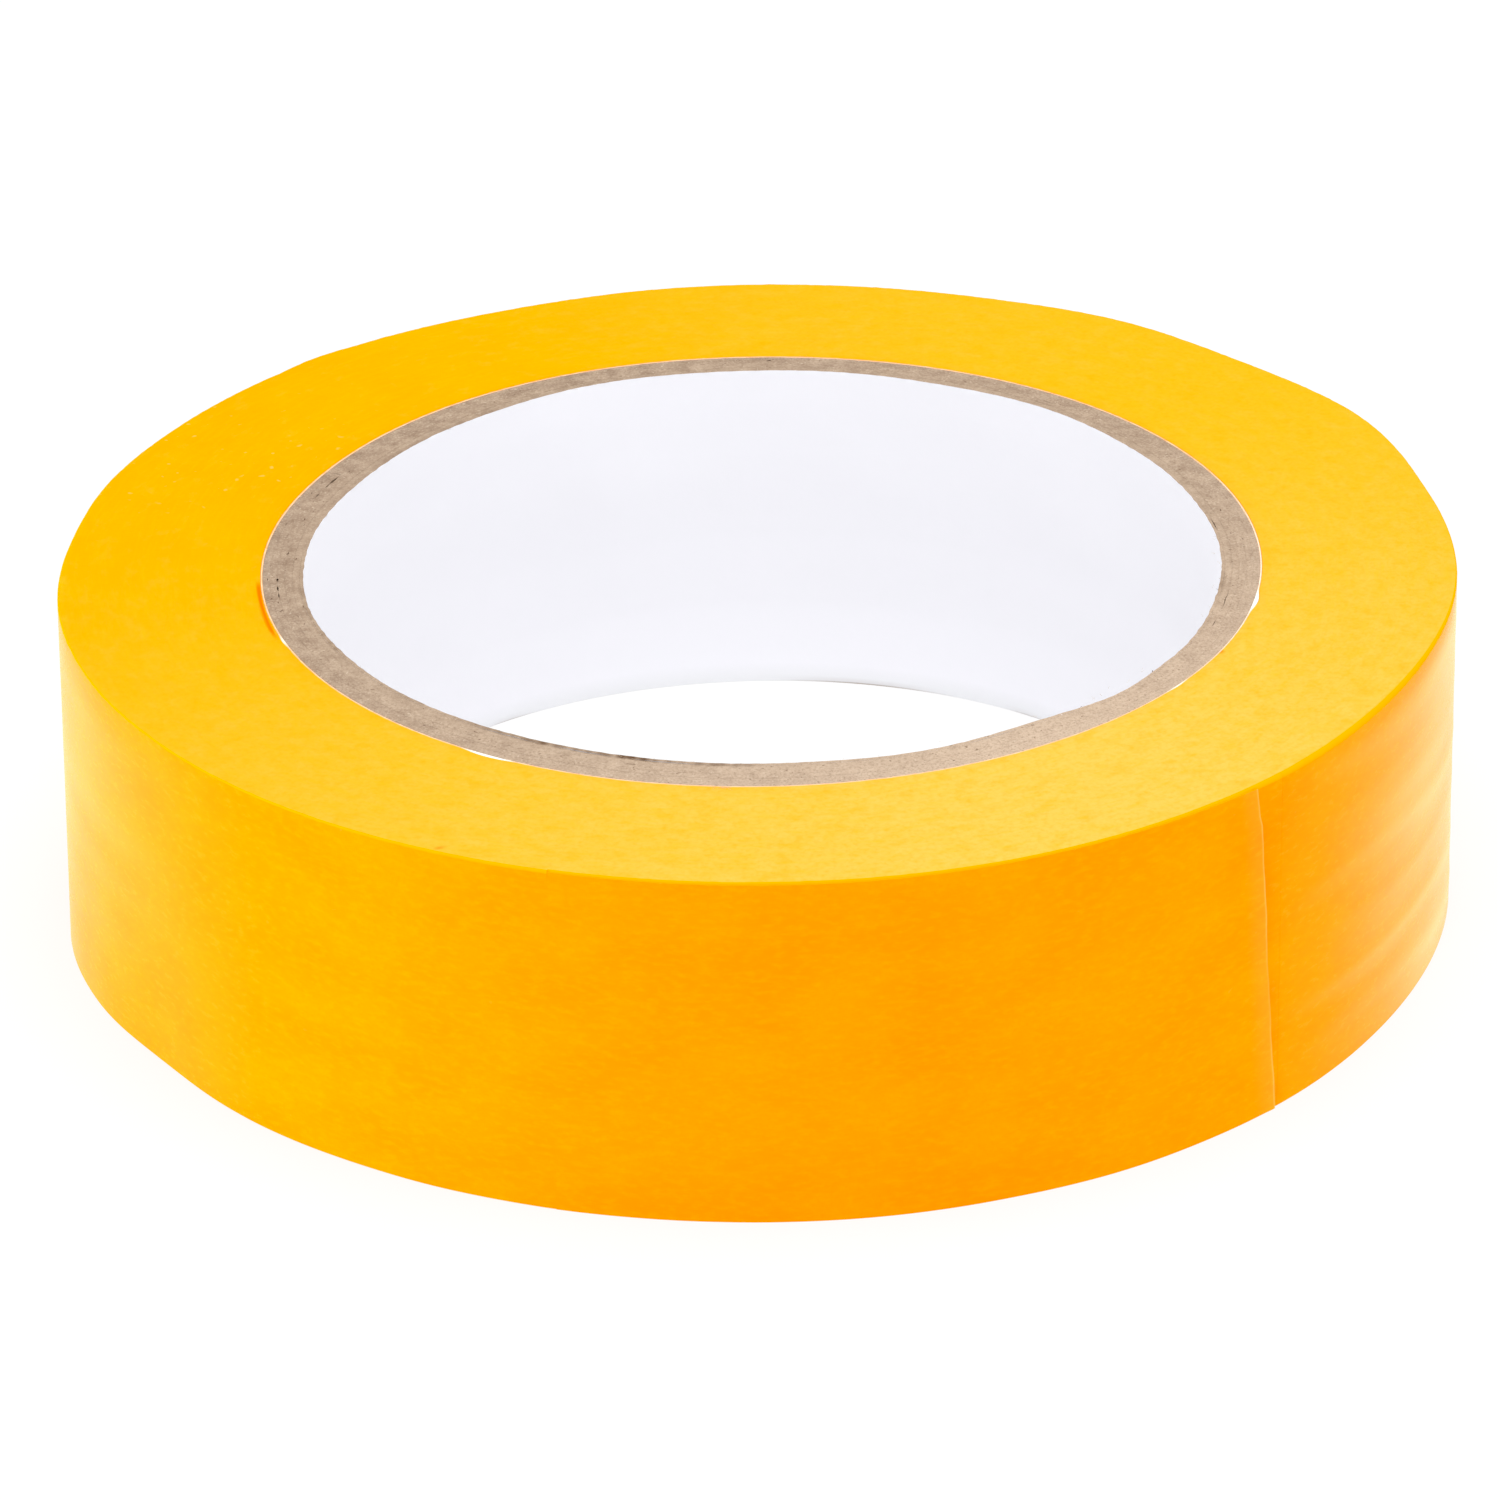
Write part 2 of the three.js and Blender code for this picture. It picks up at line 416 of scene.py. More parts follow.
def fibre_material(name, dark, light):
    """Loose fibres, tinted from one to the other of two colours."""
    g = Graph(name)
    tint = g.noise(g.rest(0.7, 0.7, 0.7), 1.0, 2.0, 0.5)
    colour = g.mix(g.remap(tint, 0.35, 0.65), dark, light)
    return g.finish(Base_Color=colour, Roughness=0.9, Specular_IOR_Level=0.15)


TAPE_FACE = tape_face_material()
TAPE_BACK = tape_back_material()
TAPE_EDGE = tape_edge_material()
BOARD_CUT = board_material("chipboard_cut_edge", True)
BOARD_FACE = board_material("chipboard_face", False)
WHITE_PAPER = white_paper_material()
WRAP_PAPER = wrap_paper_material()
PALE_FIBRE = fibre_material("pale_fibres", (0.4, 0.32, 0.23), (0.7, 0.6, 0.48))
DARK_FIBRE = fibre_material("dark_fibres", (0.06, 0.035, 0.02), (0.16, 0.09, 0.05))


# ---------------------------------------------------------------- the wound tape

# Where the roll is out of round: angle, half width in degrees, and height in millimetres at the
# base and at the top
UNEVEN = (
    (9, 12, -0.05, -0.05), (29, 17, 0.5, 0.95), (58, 13, 0.3, 0.5), (115, 18, -0.2, -0.35),
    (134, 5, 0.1, 0.3), (165, 14, 0.2, 0.25), (186, 16, 0.75, 0.38), (199, 18, 1.1, 0.3),
    (226, 14, 0.2, 0.0), (240, 34, 0.0, -0.28), (285, 20, 0.1, 0.1), (300, 11, 0.15, 0.0),
    (335, 24, -0.33, -0.5), (348, 40, 0.32, 0.2),
)
ROLL_SWELL = 0.06 * MM
# Where the first turn stands off the core, and where the paper round the core swells
FIRST_TURN_LIFTS = ((202, 2.2, 0.08), (240.4, 4.2, 0.26), (348.3, 3.4, 0.25), (324.7, 2.5, 0.08))
WRAP_SWELLINGS = ((202, 2.2, 0.08), (240.4, 4.2, 0.24), (348.3, 3.4, 0.23), (324.7, 2.5, 0.08))
LIFT_DEPTH = 0.35 * MM
# A band of painted shade along the first turns, in a deeper colour: first and last angle, radius in
# millimetres at both, and half width
SHADE_BAND = (185.2, 202.0, 41.75, 41.97, 0.18)
# Small deep-coloured marks on the end face: radius in millimetres, angle, size and strength
END_MARKS = ((42.1, 334.5, 0.2, 1.0), (57.05, 245.7, 0.26, 0.6), (42.0, 267.6, 0.14, 0.5))
# How far the core lies off the roll's axis, and which way
CORE_SHIFT = 0.18 * MM
CORE_SHIFT_DEG = -32
# Where the core's cut end leans out of round, on the bore's side and on the tape's side: angle, half
# width in degrees and height in millimetres. It leans less with depth, down to LEAN_DEPTH.
BORE_LEANS = (
    (0, 18, 0.3), (52, 18, 0.35), (84, 26, 0.3), (112, 22, 0.55), (156, 22, -0.3), (195, 18, 0.17),
    (245, 28, -0.2), (291, 16, 0.34), (318, 11, 0.42), (331, 32, 0.85),
)
WRAP_LEANS = ((122, 42, 0.42), (60, 60, 0.08), (340, 60, 0.06), (212, 45, -0.1))
WRAP_LEAN_ALL = 0.17 * MM
LEAN_DEPTH = 8 * MM
# Where the bore's wall leans at the base
FOOT_LEANS = ((90, 62, -0.6),)
# The cut lifted the core's inner edge by this much, and left it so ragged
CORE_BURR = 0.22 * MM
EDGE_RAGGED = 0.035 * MM

# The side where the end faces carry the most painted sheen, and the side where they carry the least
# painted light
SHEEN_DEG = -58
LEAST_LIT_DEG = 150

# Creases beside the tape's end, where air lies under it: height of each in millimetres, half width and
# strength
CREASES = (
    (26.6, 1.0, 0.5), (22.3, 0.8, 0.4), (16.7, 0.9, 0.9),
    (12.0, 0.7, 0.5), (7.2, 0.8, 1.1), (3.0, 0.9, 0.9),
)
CREASE_CENTRE_DEG = -16
CREASE_SLOPE = -0.035
CREASE_REACH = 20 * MM
CREASE_RISE = 0.07 * MM


def humps(deg, places):
    """The sum of humps, each given as an angle, a half width in degrees and a height."""
    return sum(height * hump(deg, centre, half) for centre, half, height in places)


def humps_mm(deg, places):
    """The same for heights in millimetres, in metres."""
    return humps(deg, places) * MM


def out_of_round(deg, z):
    """How far the roll's outline stands off a true circle."""
    share = z / WIDTH
    total = ROLL_SWELL
    for centre, half, low, high in UNEVEN:
        total = total + (low + (high - low) * share) * MM * hump(deg, centre, half)
    return total


def creases(deg, z):
    """Soft bands of 0 to about 1 that run along the tape and slope down a little."""
    away = (deg - CREASE_CENTRE_DEG + 180) % 360 - 180
    along = np.radians(away) * TIP_RADIUS
    total = 0
    for number, (middle, width, strength) in enumerate(CREASES):
        wander = 0.35 * MM * np.sin(along / (5.5 * MM) + 2 * number)
        across = (z - middle * MM - CREASE_SLOPE * along - wander) / (width * MM)
        centre = 5 * MM * math.sin(3 * number)
        total = total + strength * np.exp(-across ** 2 - ((along - centre) / CREASE_REACH) ** 2)
    return total


def paleness(deg, z):
    """Painted sheen haze on the outermost turn, 0 to 1, on paper that looks paler where it isn't pressed
    down: on the left, on the right, and along the creases, but not just under the rim."""
    under_rim = WIDTH - z - 0.4 * MM
    palest_deg = 194
    to_front = (deg + 360) % 360 > palest_deg
    left = 0.17 * np.where(to_front, hump(deg, palest_deg, 27), hump(deg, palest_deg, 90))
    left = left * smooth_step((z - 2 * MM) / (15 * MM)) * smooth_step(under_rim / (4.5 * MM))
    right = 0.58 * hump(deg, 353, 42) ** 1.5 * smooth_step(under_rim / (2.4 * MM))
    cloudy = 1 + 0.25 * ripple(deg, z, 14, 12, 16, 0.5) + 0.3 * ripple(deg, z, 15, 14, 5, 1.5)
    along_creases = 0.4 * (creases(deg, z) - 0.22) * hump(deg, 348, 48)
    return ((left + right) * cloudy + along_creases).clip(0, 1)


def side_relief(deg, z):
    """How far the tape's outer face stands off a true spiral."""
    soft = 0.03 * MM * ripple(deg, z, 1, 24, 12, 0.12)
    fine = 0.006 * MM * ripple(deg, z, 2, 40, 70, 0.9)
    return out_of_round(deg, z) + soft + fine + CREASE_RISE * creases(deg, z)


def rim_fray(deg):
    """Small nicks and hairs along the outer rim, about -1 to 1."""
    return ripple(deg, 0, 8, 50, 420, 0)


def top_height(radius, deg):
    """The top end face: faint rings where turns stand proud, rough edges, and a fall at the rim."""
    bands = 0
    random = np.random.default_rng(5)
    for length in (1.0, 1.4, 2.1, 3.3):
        phase = random.uniform(0, 2 * math.pi)
        swing = ripple(deg, 0, int(length * 100), 8, 9, 0)
        bands = bands + np.cos(2 * math.pi * radius / (length * MM) + phase + swing)
    rough = ripple(deg, radius, 6, 40, 160, 9)
    at_rim = smooth_step((radius - TIP_RADIUS) / (0.8 * MM) + 1)
    fall = (0.012 * rim_fray(deg) + 0.1 * hump(deg, 284, 30)) * MM * at_rim
    return WIDTH + 0.008 * MM * bands + 0.006 * MM * rough - fall


def bottom_height(radius, deg):
    return 0.012 * MM * (1.8 + ripple(deg, radius, 7, 30, 40, 3)).clip(0)


def depth_fade(z):
    """1 at the top end face, and 0 from the depth to which the layers have come apart."""
    return smooth_step(1 - (WIDTH - z) / LIFT_DEPTH)


def sheen_haze_share(deg):
    """Painted sheen on the end faces: 1 at the front right and 0 opposite."""
    broad = (0.5 + 0.5 * np.cos(np.radians(deg - SHEEN_DEG))) ** 2.4
    return 0.8 * broad + 0.2 * hump(deg, SHEEN_DEG, 30) + 0.14 * hump(deg, 80, 50)


def painted_light_share(deg):
    """Painted light on the end face: 0 at its least lit angle and 1 on the other side."""
    return 1 - hump(deg, LEAST_LIT_DEG, 110)


def core_lean(radius, deg, z):
    """How far a point of the core stands outward of a true circle about the roll's axis."""
    share = np.clip((radius - BORE_RADIUS) / (CORE_RADIUS - BORE_RADIUS), 0, 1)
    near_top = np.clip(1 - (WIDTH - z) / LEAN_DEPTH, 0, 1)
    near_foot = np.clip(1 - z / LEAN_DEPTH, 0, 1)
    inside = humps_mm(deg, BORE_LEANS)
    outside = humps_mm(deg, WRAP_LEANS) + WRAP_LEAN_ALL
    shift = CORE_SHIFT * np.cos(np.radians(deg - CORE_SHIFT_DEG))
    at_top = (inside * (1 - share) + outside * share) * near_top
    at_foot = humps_mm(deg, FOOT_LEANS) * (1 - share) * near_foot
    ragged = EDGE_RAGGED * ripple(deg, 0, 51, 40, 220, 0) * (1 - share) * depth_fade(z)
    return shift + at_top + at_foot + ragged


def pack_inner_radius(deg, z):
    """The hole in the wound tape, where its first turn lies on the core or stands off it."""
    parted = humps_mm(deg, FIRST_TURN_LIFTS) * depth_fade(z)
    return CORE_RADIUS + 0.02 * MM + core_lean(CORE_RADIUS, deg, z) + parted


def lead_radius(deg):
    """The spiral of the outermost turn, up to and past its tip."""
    return TIP_RADIUS - TAPE * (TIP_DEG - deg) / 360


# The tape's end is cut a little askew, with a nick near the top
TIP_SKEW_DEG = 1.15
TIP_OVERRUN_DEG = 1.6


def tip_line(z):
    """The angle of the tape's cut end at a height."""
    share = z / WIDTH
    wander = 0.05 * np.sin(share * 9 + 1) + 0.035 * np.sin(share * 23) + 0.02 * np.sin(share * 61 + 2)
    nick = 0.2 * smooth_step((share - 0.885) / 0.012)
    return TIP_DEG + TIP_SKEW_DEG * (1 - 2 * share) + wander - nick


# How finely the wound tape is divided: up its side, across its top and its base, and round it
SIDE_STEPS = 36
TOP_STEPS = 46
BASE_STEPS = 12
STUCK_COLUMNS = 710
UNDER_LEAD_COLUMNS = 130
FOOT_ROUND = 0.09 * MM
# The places on the rim's rounding, in degrees from the side face, and how strong the painted rim
# highlight is on the side's last place and on each of these
ROUNDING_TURNS = (22, 45, 68)
RIM_HIGHLIGHT = (0.0, 0.4, 0.7, 0.9)
# Depths below the top end face at which the walls of the core and of the hole in the tape have points
WALL_DEPTHS = (0.03, 0.1, 0.2, 0.3, 0.4, 0.7, 1.2, 3, 8, 15, 22, 27, 29.4, 29.85, 29.97)


def rim_round(deg):
    """The radius of the outer rim's rounding: most on the right, where the roll was handled."""
    return (0.13 + 0.15 * hump(deg, 275, 60) + 0.3 * hump(deg, 327, 36)) * MM


def rounded_rim(radius, top, deg):
    """The rim's rounding, from the side face up to the end face, as more places on the section."""
    size = rim_round(deg) + 0.03 * MM * rim_fray(deg)
    places = []
    for turn in ROUNDING_TURNS:
        back = size * (1 - math.cos(math.radians(turn)))
        down = size * (1 - math.sin(math.radians(turn)))
        places.append(polar(radius - back, deg, top - down))
    return np.concatenate(places, axis=1)


def beside_tip(deg, z):
    """How far a point lies past the tape's cut end, in metres along the winding."""
    past = (deg - tip_line(z) + 180) % 360 - 180
    return np.radians(past) * TIP_RADIUS


def tip_shade(past, z):
    """Painted shadow just past the tip, where the tape bridges the step, in patches."""
    patchy = 0.5 + 0.5 * np.sin(z / MM * 0.9 + 1.5) * np.sin(z / MM * 0.37)
    return 0.3 * patchy * np.exp(-((past - 0.3 * MM) / (0.9 * MM)) ** 2)


def shade_band_and_marks(radius, deg):
    """The painted shade band and the small marks on the end face."""
    start, end, start_radius, end_radius, half_width = SHADE_BAND
    share = (deg - start) / (end - start)
    middle = (start_radius + (end_radius - start_radius) * share) * MM
    inside = smooth_step(share / 0.15) * smooth_step((1 - share) / 0.2)
    total = 0.9 * inside * np.exp(-((radius - middle) / (half_width * MM)) ** 4)
    for mark_radius, mark_deg, size, strength in END_MARKS:
        along = np.radians((deg - mark_deg + 180) % 360 - 180) * radius
        away = (along ** 2 + (radius - mark_radius * MM) ** 2) / (size * MM) ** 2
        total = total + strength * np.exp(-away)
    return total.clip(0, 1)


def rim_highlight(deg):
    """How strong the painted highlight along the outer rim is."""
    return (0.85 * (1 + 0.3 * rim_fray(deg))).clip(0, 1)


def shade_patch(deg, z):
    """Painted shade on both sides of the tip near the top."""
    away = (deg - TIP_DEG + 180) % 360 - 180
    return 0.14 * np.exp(-(away / 6.0) ** 2 - ((z - 25 * MM) / (5 * MM)) ** 2)


def front_shade(deg, z):
    """Painted shade: a slightly deeper colour at the front, most along the base."""
    return 0.12 * smooth_step(1 - z / (8 * MM)) * hump(deg, 270, 55) + 0.05 * hump(deg, 285, 60)


def pack_paint(deg, side_z, top_radius, inner_edge, places):
    """What the tape's materials read at each place of the section."""
    first_top = SIDE_STEPS + len(ROUNDING_TURNS)
    side = np.s_[:, :SIDE_STEPS]
    rim = np.s_[:, SIDE_STEPS - 1:first_top]
    top = np.s_[:, first_top:first_top + TOP_STEPS]
    all_slit = np.s_[:, first_top:]
    keys = ("shade_and_marks", "pale_and_haze", "highlit_rim", "dusty", "sheen_haze", "painted_light")
    paint = {key: np.zeros((len(deg), places)) for key in keys}
    at_tip = tip_shade(beside_tip(deg, side_z), side_z)
    paint["shade_and_marks"][side] = at_tip + shade_patch(deg, side_z) + front_shade(deg, side_z)
    # Painted shade along the edge of the hole in the tape
    core_edge_shade = 0.05 * smooth_step(1 - (top_radius - inner_edge) / (1.3 * MM))
    paint["shade_and_marks"][top] = (shade_band_and_marks(top_radius, deg) + core_edge_shade).clip(0, 1)
    # Paler loose paper, with a painted sheen haze
    paint["pale_and_haze"][side] = paleness(deg, side_z)
    paint["highlit_rim"][rim] = rim_highlight(deg) * np.array([RIM_HIGHLIGHT])
    paint["dusty"][top] = 0.1 + 0.9 * hump(deg, 157, 22)
    paint["sheen_haze"][all_slit] = sheen_haze_share(deg)
    paint["painted_light"][all_slit] = painted_light_share(deg)
    return paint


def pack_columns():
    """The columns' angles, once round from just past the tape's cut end, and the spiral's radius at
    each. Under the free end it lies one turn lower."""
    sliver = 0.002
    stuck = np.linspace(TIP_DEG + TIP_OVERRUN_DEG, ROOT_DEG + 360 - sliver, STUCK_COLUMNS)
    last_deg = TIP_DEG + 360 + TIP_OVERRUN_DEG - sliver
    under_lead = np.linspace(ROOT_DEG + 360, last_deg, UNDER_LEAD_COLUMNS)
    deg = np.concatenate([stuck, under_lead])[:, None]
    clearance = 0.01 * MM
    spiral = np.where(deg < ROOT_DEG + 360,
                      TIP_RADIUS - TAPE * (360 + TIP_DEG - deg) / 360,
                      lead_radius(deg - 360) - TAPE - clearance)
    return deg, spiral


def build_pack():
    """Every turn that stays stuck down. The shallow step in its outside takes the free end."""
    deg, spiral = pack_columns()
    share = np.linspace(0, 1, SIDE_STEPS)[None, :]
    rim = spiral + side_relief(deg, np.full_like(deg, WIDTH)) + 0.01 * MM * rim_fray(deg)
    foot = spiral + side_relief(deg, np.zeros_like(deg))
    rounding = rim_round(deg)
    rim_top = top_height(rim, deg)
    side_bottom = bottom_height(foot, deg) + FOOT_ROUND / 2
    side_z = side_bottom + (rim_top - rounding - side_bottom) * share
    side_radius = spiral + side_relief(deg, side_z)
    side_radius[:, -1:] = rim
    side = polar(side_radius, deg, side_z)
    rounded = rounded_rim(rim, rim_top, deg)

    inner_edge = pack_inner_radius(deg, np.full_like(deg, WIDTH))
    inward = 1 - (1 - np.linspace(0, 1, TOP_STEPS)[None, :]) ** 1.5
    top_outer = rim - rounding
    top_radius = top_outer + (inner_edge - top_outer) * inward
    top = polar(top_radius, deg, top_height(top_radius, deg))

    inner_z = WIDTH - np.array(WALL_DEPTHS)[None, :] * MM
    inner = polar(pack_inner_radius(deg, inner_z), deg, inner_z)

    base_outer = side_radius[:, :1] - FOOT_ROUND / 2
    outward = np.linspace(0, 1, BASE_STEPS)[None, :]
    base_inner = pack_inner_radius(deg, np.zeros_like(deg))
    base_radius = base_inner + (base_outer - base_inner) * outward
    base = polar(base_radius, deg, bottom_height(base_radius, deg))

    grid = np.concatenate([side, rounded, top, inner, base], axis=1)
    places = grid.shape[1]
    slot_of = [0] * (SIDE_STEPS - 1) + [1] * (places - SIDE_STEPS + 1)
    paint = pack_paint(deg, side_z, top_radius, inner_edge, places)
    return wrap_grid("tape_turns", grid, True, [TAPE_FACE, TAPE_EDGE], slot_of, paint)


LEAD_COLUMNS = 25


def build_lead(index):
    """One hinged length of the tape's free end, from its hinge to the next hinge or to the tip."""
    start = HINGE_DEG[index]
    is_last = index == len(HINGES) - 1
    along = np.linspace(0, 1, LEAD_COLUMNS)[:, None]
    if is_last:
        along = 1 - (1 - along) ** 2
    share = np.linspace(0, 1, SIDE_STEPS)[None, :]
    end = tip_line(WIDTH * share) if is_last else start + STRETCH_DEG
    deg = start + (end - start) * along + 0 * share
    fray = rim_fray(deg[:, -1:])
    rim = lead_radius(deg) + out_of_round(deg, WIDTH)
    low = bottom_height(rim, deg)
    high = top_height(rim, deg) - 0.5 * rim_round(deg)
    z = low + (high - low) * share
    to_tip = -beside_tip(deg, z)
    lift = 0.06 * MM * smooth_step(1 - to_tip / (2.2 * MM)) ** 2
    face_radius = lead_radius(deg) + side_relief(deg, z) + lift
    face_radius[:, -1:] += 0.012 * MM * fray - 0.12 * rim_round(deg[:, -1:])
    face = polar(face_radius, deg, z)
    back = polar(face_radius - TAPE, deg, z)
    grid = np.concatenate([face, back[:, ::-1]], axis=1)

    # The pale band along the cut end: frayed paper with a painted highlight of the cut edge
    frayed_and_highlight = np.zeros(grid.shape[:2])
    height = z / WIDTH
    strength = 0.38 + 0.18 * np.sin(height * 11 + 0.6) + 0.3 * smooth_step((height - 0.8) / 0.08)
    frayed_and_highlight[:, :SIDE_STEPS] = strength * np.exp(-(to_tip / (0.11 * MM)) ** 2)
    # Painted sheen haze with paler loose paper, and a paler band by the tip
    pale_and_haze = np.zeros(grid.shape[:2])
    near_tip = 0.05 * np.exp(-(to_tip / (1.6 * MM)) ** 2)
    pale_and_haze[:, :SIDE_STEPS] = paleness(deg, z) + near_tip
    shade_and_marks = np.zeros(grid.shape[:2])
    shade_and_marks[:, :SIDE_STEPS] = shade_patch(deg, z) + front_shade(deg, z)
    highlit_rim = np.repeat(rim_highlight(deg[:, :1]), grid.shape[1], axis=1)
    slot_of = [0] * (SIDE_STEPS - 1) + [1] + [2] * (SIDE_STEPS - 1) + [1]
    extras = {"frayed_and_highlight": frayed_and_highlight, "pale_and_haze": pale_and_haze, "shade_and_marks": shade_and_marks, "highlit_rim": highlit_rim}
    name = f"tape_end_{index + 1}"
    return wrap_grid(name, grid, False, [TAPE_FACE, TAPE_EDGE, TAPE_BACK], slot_of, extras)


def add_tape():
    """The wound tape on the roll's body, and each length of its free end."""
    pack = build_pack()
    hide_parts("tape_pack")
    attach(pack, "roll")
    for index, hinge in enumerate(HINGES):
        piece = build_lead(index)
        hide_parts(LEAD_NODES[index])
        end_deg = HINGE_DEG[index] + STRETCH_DEG
        end = polar(lead_radius(end_deg), end_deg, hinge["pos_m"][2])
        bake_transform(piece)


# ---------------------------------------------------------------- the core

# Splits between the core's layers: layer boundary, angle, half width in degrees, opening in
# millimetres. Boundary 1 lies between the liner and the first ply.
SPLITS = (
    (1, 240, 6, 0.08), (1, 250, 5, 0.12), (1, 260, 6, 0.1),
    (1, 300, 4, 0.04), (1, 78, 5, 0.05), (1, 9, 2, 0.1),
    (4, 156.9, 1.5, 0.24), (4, 158.6, 0.6, 0.12), (4, 161.4, 0.7, 0.12),
    (4, 185.6, 0.4, 0.24), (4, 188.0, 0.7, 0.16), (4, 189.9, 0.4, 0.2),
    (3, 52, 1.2, 0.1), (2, 347.5, 3.0, 0.06), (2, 341, 1.2, 0.07),
)
SPLIT_DEPTH = 1.2 * MM
SEAM_SLANT_DEG = 75
# The angle at which each layer's seam reaches the top, and the seam's width there in millimetres
LINER_SEAM = (310, 0.03)
PLY_SEAMS = ((299, 0.05), (11, 0.05), (83, 0.05), (155, 0.05), (227, 0.05))
WRAP_SEAM = (263, 0.05)
# Where the inner edge of the cut is darker, and the liner's lower edge too: angle, half width in
# degrees, and strength
EDGE_DARKENING = (
    (237, 7, 0.7), (246, 8, 0.9), (256, 9, 1.0), (266, 7, 0.9), (222, 5, 0.3),
    (140, 30, 0.3), (352, 6, 0.4), (196, 15, 0.4), (207, 5, 0.35),
)
FOOT_DARKENING = ((128, 5, 0.5), (77, 15, 1.0), (53, 4, 0.5))
# The swelling in millimetres at which the wrap's paper has lost its tint
FULL_SWELL = 0.12
# How finely each layer is divided: round it, and across its cut ends
LAYER_COLUMNS = 800
RINGS = 4
# The thickness of glue between two layers, the height of their lower ends above the table, and how
# rough their cut ends are in millimetres
GLUE = 0.006 * MM
FOOT_CLEARANCE = 0.045 * MM
LINER_ROUGHNESS = 0.012
PLY_ROUGHNESS = 0.022
WRAP_ROUGHNESS = 0.01


def split_opening(boundary, deg, z):
    """How wide the layers stand apart at a boundary."""
    near_top = smooth_step(1 - (WIDTH - z) / SPLIT_DEPTH)
    places = [split[1:] for split in SPLITS if split[0] == boundary]
    return humps_mm(deg, places) * near_top


def end_rise(radius):
    """The burr that the cut left towards the bore, on the core's top end."""
    share = (radius - BORE_RADIUS) / (CORE_RADIUS - BORE_RADIUS)
    return CORE_BURR * (1 - share.clip(0, 1)) ** 2


def layer_paint(index, deg, swell):
    """What the core's materials read at each place of a layer's section. The liner is darkened in places
    on its cut edge and its foot, and the first ply only beside it."""
    steps = len(WALL_DEPTHS)
    inner_top = steps + RINGS
    ragged = (0.6 + 0.5 * ripple(deg, 0, 31, 30, 260, 0)).clip(0, 1.2)
    darkening = humps(deg, EDGE_DARKENING) * ragged
    darkened = np.zeros_like(deg)
    if index == 0:
        cut_end = np.s_[:, steps - 1:inner_top + 1]
        foot = inner_top + steps - 1
        darkened[cut_end] = darkening[cut_end]
        darkened[:, foot] = humps(deg[:, foot], FOOT_DARKENING)
        darkened[:, foot - 1] = 0.2 * darkened[:, foot]
    if index == 1:
        inner_corner = np.s_[:, inner_top - 1:inner_top + 1]
        darkened[inner_corner] = 0.7 * darkening[inner_corner]
    swollen = 0.5 * hump(deg, 350, 42) + humps(deg, swell) / FULL_SWELL
    return {"darkened": darkened.clip(0, 1), "swollen": swollen.clip(0, 1), "sheen_haze": sheen_haze_share(deg)}


def build_layer(name, index, inner, outer, seam, materials, roughness, swell):
    """One layer of the core: a ring opened along its slanting seam. Its inner and outer boundaries
    stand back where the core has split, and its cut ends are a little ragged."""
    seam_deg, gap = seam
    random = np.random.default_rng(100 + index)
    gap_deg = math.degrees(gap * MM / outer)
    turn = np.linspace(0, 1, LAYER_COLUMNS)[:, None]
    step_down = random.uniform(0.0, 0.015) * MM
    rise = end_rise(np.array([inner, outer]))

    def angle(z):
        begin = seam_deg - SEAM_SLANT_DEG * (1 - z / WIDTH) + gap_deg / 2
        return begin + (360 - gap_deg) * turn

    def radii(z):
        deg = angle(z)
        inner_edge = inner + core_lean(inner, deg, z) + split_opening(index, deg, z) / 2
        swelling = humps_mm(deg, swell) * depth_fade(z)
        outer_edge = outer + core_lean(outer, deg, z) - split_opening(index + 1, deg, z) / 2
        return inner_edge, outer_edge + swelling

    def wall(side, top_rise):
        depths = np.array(WALL_DEPTHS[::-1])[None, :] * MM
        z = (WIDTH - depths) * (1 - step_down / WIDTH) + 0 * turn
        radius = radii(z)[side]
        lift = top_rise * smooth_step(z / WIDTH * 4 - 3)
        return radius, angle(z), z + lift

    def end_face(z_level, shares, top_rise):
        z = np.full_like(turn, z_level)
        low, high = radii(z)
        radius = low + (high - low) * shares
        deg = angle(z) + 0 * radius
        ragged = ripple(deg, radius, 200 + index, 40, 300, 30)
        jitter = random.normal(0, 1, radius.shape)
        rough = roughness * MM * (0.6 * ragged + 0.5 * jitter).clip(-1.6, 1.6)
        return radius, deg, z + rough + top_rise

    across = np.linspace(0, 1, RINGS + 2)[None, 1:-1]
    top_shares = across[:, ::-1]
    parts = [
        wall(1, rise[1]),
        end_face(WIDTH - step_down, top_shares, rise[0] + (rise[1] - rise[0]) * top_shares),
        [part[:, ::-1] for part in wall(0, rise[0])],
        end_face(FOOT_CLEARANCE, across, 0),
    ]
    grid = np.concatenate([polar(*part) for part in parts], axis=1)
    deg = np.concatenate([part[1] for part in parts], axis=1)
    slot_of = ([0] * (len(WALL_DEPTHS) - 1) + [1] * (RINGS + 1)) * 2
    paint = layer_paint(index, deg, swell)
    return wrap_grid(name, grid, False, materials, slot_of, paint, across=RINGS)


